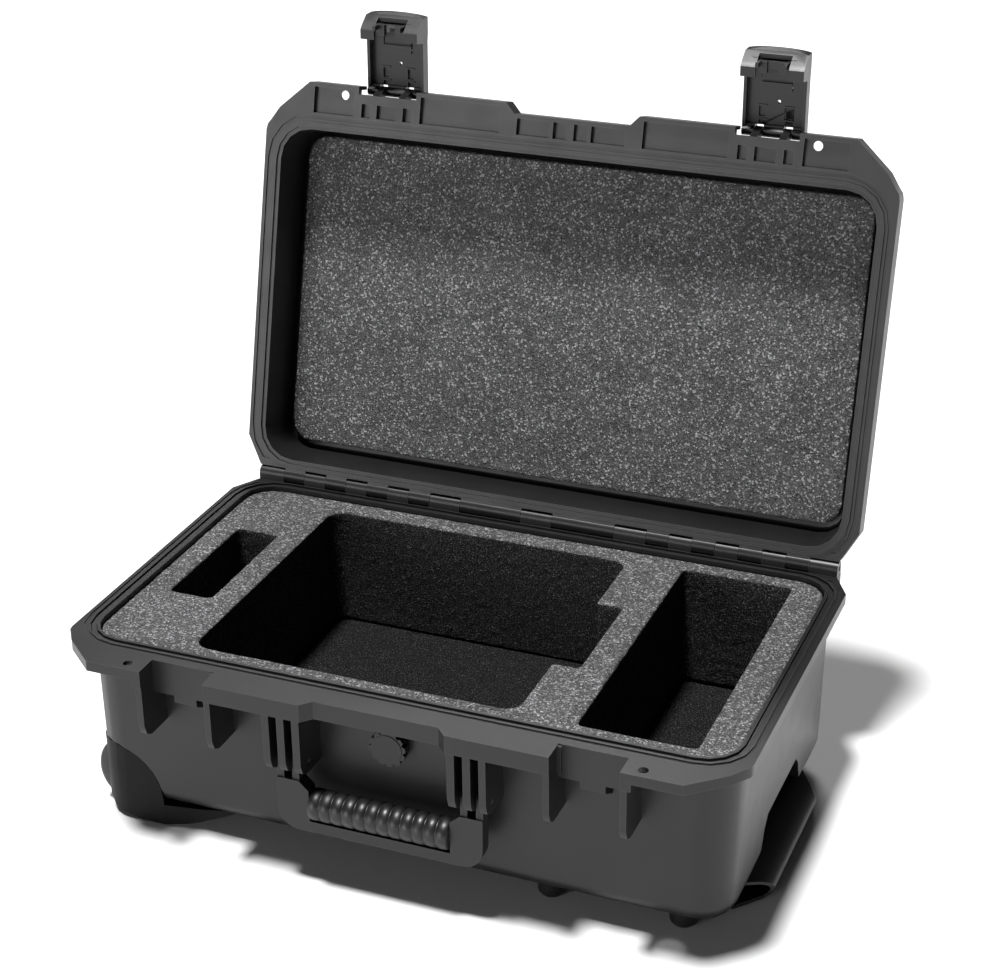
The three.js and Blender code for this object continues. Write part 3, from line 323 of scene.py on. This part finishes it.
MATERIALS = {
    "case_plastic": plastic("case_plastic", 0.009, 0.002, 0.38, 0.22, 0.55),
    "housing_plastic": plastic("housing_plastic", 0.0025, 0.0006, 0.50, 0.3, 0.3, 0.13),
    "latch_plastic": plastic("latch_plastic", 0.006, 0.0015, 0.34, 0.18, 0.6),
    "handle_plastic": plastic("handle_plastic", 0.010, 0.002, 0.34, 0.12, 0.5),
    "foam": foam("foam", 0.006, 0.048, 0.34, FOAM_TOP - UNSHADED_SKIN_DEPTH, SHADED_WALL_FLECKS),
    "floor_foam": foam("floor_foam", 0.006, 0.048, 0.34, FOAM_TOP, SHADED_FLOOR_FLECKS),
    "lid_foam": foam("lid_foam", 0.003, 0.028, 0.42),
    "rubber": rubber("rubber", 0.005, 0.42),
    "tyre": rubber("tyre", 0.016, 0.6),
    "tube_alloy": metal("tube_alloy", 0.45, 0.35),
    "steel": metal("steel", 0.62, 0.28),
}

# ---- Camera, light and floor ---------------------------------------------------------------------

CAMERA_PLACE = (0.6031, -1.4493, 1.0204)
CAMERA_AZIMUTH = 21.73
CAMERA_ELEVATION = 25.55
CAMERA_ROLL = -0.26
CAMERA_LENS = 82.57
CAMERA_SHIFT = (-0.0057, 0.0006)
SENSOR_WIDTH = 36.0

# Each sun: the direction from the model to it, its strength, and how wide it looks in degrees
SUNS = {
    "top": ((-0.10, -0.14, 0.98), 5.3, 8),
    "front": ((-0.45, -0.88, 0.01), 1.9, 34),
    "back": ((-0.22, 0.62, 0.75), 1.2, 16),
}
SKY_STRENGTH = 0.03
FLOOR_REACH = 30.0
FLOOR_GREY = 0.75


def add_camera():
    """The camera of the photograph, turned about the model and rolled a little."""
    azimuth, elevation = math.radians(CAMERA_AZIMUTH), math.radians(CAMERA_ELEVATION)
    back = Vector((
        math.sin(azimuth) * math.cos(elevation),
        -math.cos(azimuth) * math.cos(elevation),
        math.sin(elevation),
    ))
    level = Vector((0, 0, 1)).cross(back).normalized()
    upright = back.cross(level)
    roll = math.radians(CAMERA_ROLL)
    right = level * math.cos(roll) + upright * math.sin(roll)
    up = upright * math.cos(roll) - level * math.sin(roll)
    data = bpy.data.cameras.new("camera")
    data.lens = CAMERA_LENS
    data.sensor_width = SENSOR_WIDTH
    data.shift_x, data.shift_y = CAMERA_SHIFT
    data.clip_start = 0.05
    camera = bpy.data.objects.new("camera", data)
    camera.matrix_world = Matrix.Translation(CAMERA_PLACE) @ Matrix((right, up, back)).transposed().to_4x4()
    bpy.context.scene.collection.objects.link(camera)
    bpy.context.scene.camera = camera


def add_sun(name, towards, strength, softness):
    """Even light from a far softbox: towards points from the model to the light."""
    data = bpy.data.lights.new(name, "SUN")
    data.energy = strength
    data.angle = math.radians(softness)
    light = bpy.data.objects.new(name, data)
    light.rotation_euler = Vector(towards).to_track_quat("Z", "Y").to_euler()
    bpy.context.scene.collection.objects.link(light)


def add_floor():
    """A plain pale floor, far wider than the view."""
    reach = FLOOR_REACH
    mesh = bpy.data.meshes.new("floor")
    corners = [(-reach, -reach, 0), (reach, -reach, 0), (reach, reach, 0), (-reach, reach, 0)]
    mesh.from_pydata(corners, [], [(0, 1, 2, 3)])
    paint = bpy.data.materials.new("floor")
    paint.use_nodes = True
    shader = paint.node_tree.nodes["Principled BSDF"]
    shader.inputs["Base Color"].default_value = (FLOOR_GREY, FLOOR_GREY, FLOOR_GREY, 1)
    shader.inputs["Roughness"].default_value = 0.9
    shader.inputs["Specular IOR Level"].default_value = 0.1
    mesh.materials.append(paint)
    floor = bpy.data.objects.new("floor", mesh)
    bpy.context.scene.collection.objects.link(floor)


def add_studio():
    """Three soft suns and a faint even sky."""
    scene = bpy.context.scene
    world = bpy.data.worlds.new("studio")
    world.use_nodes = True
    sky = world.node_tree.nodes["Background"]
    sky.inputs["Color"].default_value = (1, 1, 1, 1)
    sky.inputs["Strength"].default_value = SKY_STRENGTH
    scene.world = world
    scene.view_settings.view_transform = "Standard"
    for name, (towards, strength, softness) in SUNS.items():
        add_sun(name, towards, strength, softness)


# ---- CAD nodes kept as they are, with rounded edges and a finish ---------------------------------

# Widths of the rounded edges
BEVELS = {
    "base_shell": 0.0009,
    "lid_shell": 0.0009,
    "wheel_housing_front": 0.0014,
    "wheel_housing_rear": 0.0014,
    "trolley_cover": 0.001,
    "handle_frame": 0.0013,
    "pull_grip": 0.0008,
}
SMALL_BEVEL = 0.0004


def finish_nodes():
    """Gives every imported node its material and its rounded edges."""
    slots = {row["node"]: row["material_slot"] for row in frame["record"]["subparts"]}
    for name, node in frame["nodes"].items():
        node.data.materials.clear()
        node.data.materials.append(MATERIALS[slots[name]])
        smooth_all(node.data)
        add_bevel(node, BEVELS.get(name, SMALL_BEVEL))


# ---- Foam ----------------------------------------------------------------------------------------

FOAM_VOXEL = 0.0022
FOAM_ROUGH = 0.00035
COARSE_WAVE = 160
FINE_WAVE = 420
FINE_SHARE = 0.8
INWARD = 0.9              # keeps the uneven skin inside the plain solid


def rough_foam(name, node, body, material):
    """A foam piece with the cut edges and the uneven skin of real foam, in the place of its plain solid."""
    mesh = frame["nodes"][node].data.copy()
    piece = make_object(name, mesh, MATERIALS[material], body, node)
    remesh = piece.modifiers.new("cells", "REMESH")
    remesh.mode = "VOXEL"
    remesh.voxel_size = FOAM_VOXEL
    bpy.context.view_layer.update()
    evaluated = piece.evaluated_get(bpy.context.evaluated_depsgraph_get())
    fine = bpy.data.meshes.new_from_object(evaluated)
    piece.modifiers.clear()
    piece.data = fine
    normals = [vertex.normal.copy() for vertex in fine.vertices]
    for vertex, normal in zip(fine.vertices, normals):
        wave = noise.noise(vertex.co * COARSE_WAVE) + FINE_SHARE * noise.noise(vertex.co * FINE_WAVE)
        vertex.co += normal * (wave - INWARD) * FOAM_ROUGH
    smooth_all(fine)


# ---- Rubber grip and tyres -----------------------------------------------------------------------


TURNED_EDGE = math.radians(50)


def add_turned(name, mesh, material, body, replaced):
    """A turned piece with smooth flanks and crisp edges; its slot has the name of its material."""
    piece = make_object(name, mesh, MATERIALS[material], body, replaced)
    smooth_all(mesh)
    piece.data.set_sharp_from_angle(angle=TURNED_EDGE)


def add_grip():
    """The ribbed sleeve of the front handle."""
    pitch = 2 * GRIP_HALF / GRIP_RIDGES
    half_ridge = [(GRIP_GROOVE, 0.3), (GRIP_SHOULDER, 1.0)]
    profile = [(GRIP_CORE, -GRIP_HALF)]
    for i in range(GRIP_RIDGES):
        start = -GRIP_HALF + i * pitch
        profile += [(GRIP_RADIUS - depth, start + along) for depth, along in half_ridge]
        profile.append((GRIP_RADIUS, start + pitch / 2))
        profile += [(GRIP_RADIUS - depth, start + pitch - along) for depth, along in reversed(half_ridge)]
    profile.append((GRIP_CORE, GRIP_HALF))
    mesh = lathe(profile, "x", GRIP_PLACE, GRIP_SEGMENTS)
    add_turned("ribbed_grip", mesh, "rubber", "front_handle", "handle_grip")


def add_tyre(end, side):
    """A tyre with three tread grooves and a rounded shoulder."""
    shoulder = [(0.0, TYRE_WALL), (1.6, 1.4), (4.0, 0.0)]
    profile = [(TYRE_RIM, -TYRE_HALF)]
    profile += [(TYRE_RADIUS - depth, along - TYRE_HALF) for along, depth in shoulder]
    for middle in TREAD_GROOVES:
        groove = [(-1.1, 0.0), (-0.7, TREAD_DEPTH), (0.7, TREAD_DEPTH), (1.1, 0.0)]
        profile += [(TYRE_RADIUS - depth, middle + along) for along, depth in groove]
    profile += [(TYRE_RADIUS - depth, TYRE_HALF - along) for along, depth in reversed(shoulder)]
    profile.append((TYRE_RIM, TYRE_HALF))
    centre = Vector((WHEEL_PLACE.x, side * WHEEL_PLACE.y, WHEEL_PLACE.z))
    mesh = lathe(profile, "y", centre, TYRE_SEGMENTS)
    add_turned(f"treaded_tyre_{end}", mesh, "tyre", f"{end}_wheel", f"tyre_{end}")


# ---- Build ---------------------------------------------------------------------------------------

add_camera()
add_studio()
add_floor()
finish_nodes()
rough_foam("cut_foam", "foam_insert", "base", "foam")
rough_foam("floor_foam", "foam_floor_pad", "base", "floor_foam")
rough_foam("lid_foam_pad", "lid_foam", "lid", "lid_foam")
add_grip()
add_tyre("front", -1)
add_tyre("rear", 1)
